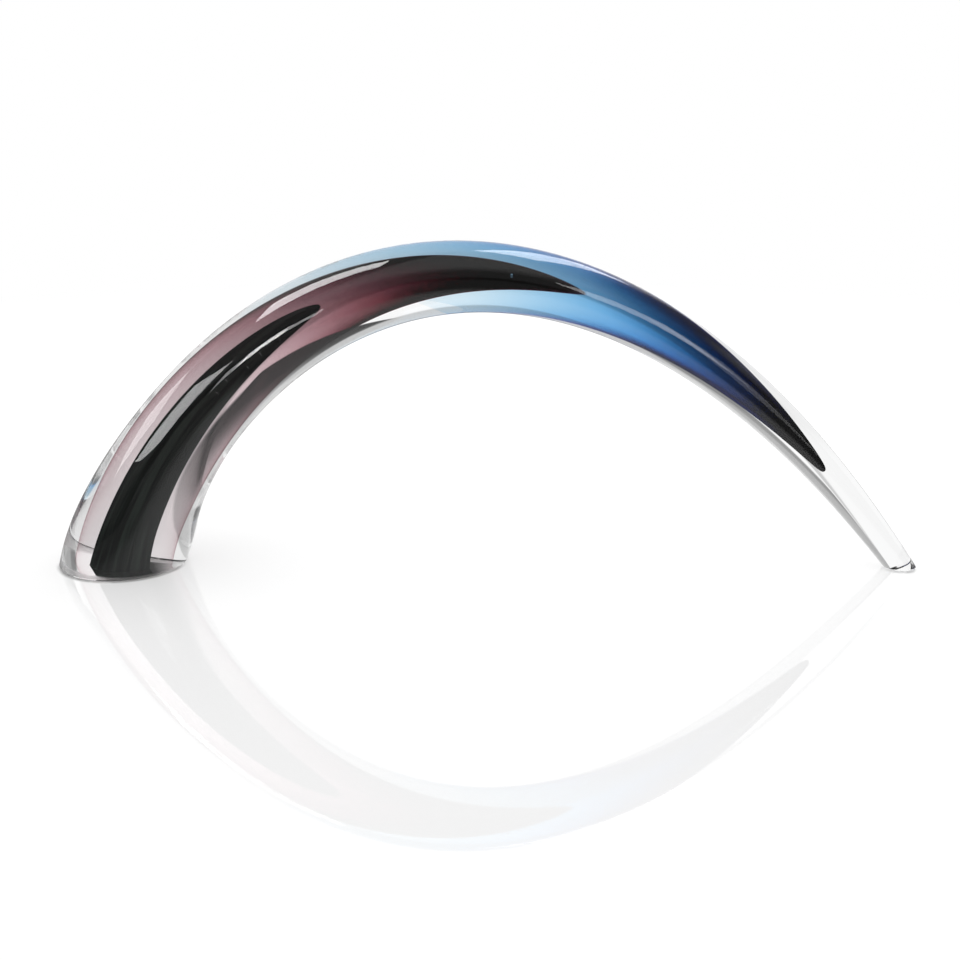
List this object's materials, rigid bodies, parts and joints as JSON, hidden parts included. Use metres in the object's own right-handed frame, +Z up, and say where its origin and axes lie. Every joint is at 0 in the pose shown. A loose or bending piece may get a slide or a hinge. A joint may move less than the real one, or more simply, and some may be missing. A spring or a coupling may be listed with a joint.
{
  "type": "glass sculpture",
  "caption": "Free-standing arch of solid layered glass, clear over blue, amethyst and black drops, tapering from a thick ground foot to a thin ground foot.",
  "frame": {"origin": "on the ground, in the middle of the arch's length and depth", "axes": "+Z up, +X along the arch from the thick foot to the thin foot, +Y away from the viewer of the front"},
  "size_m": [0.443, 0.0666, 0.166],
  "materials": {
    "clear_glass": "fire polished, feet ground flat and polished",
    "black_glass": "near-opaque green-black, fused inside clear glass",
    "amethyst_glass": "transparent, thin skin that thickens to a solid tip",
    "blue_glass": "transparent, thin skin that thickens to a solid tip"
  },
  "bodies": {
    "root": {"black_core": "black_glass", "inner_clear_gather": "clear_glass", "amethyst_skin": "amethyst_glass", "middle_clear_gather": "clear_glass", "blue_skin": "blue_glass", "clear_casing": "clear_glass"}
  },
  "joints": []
}
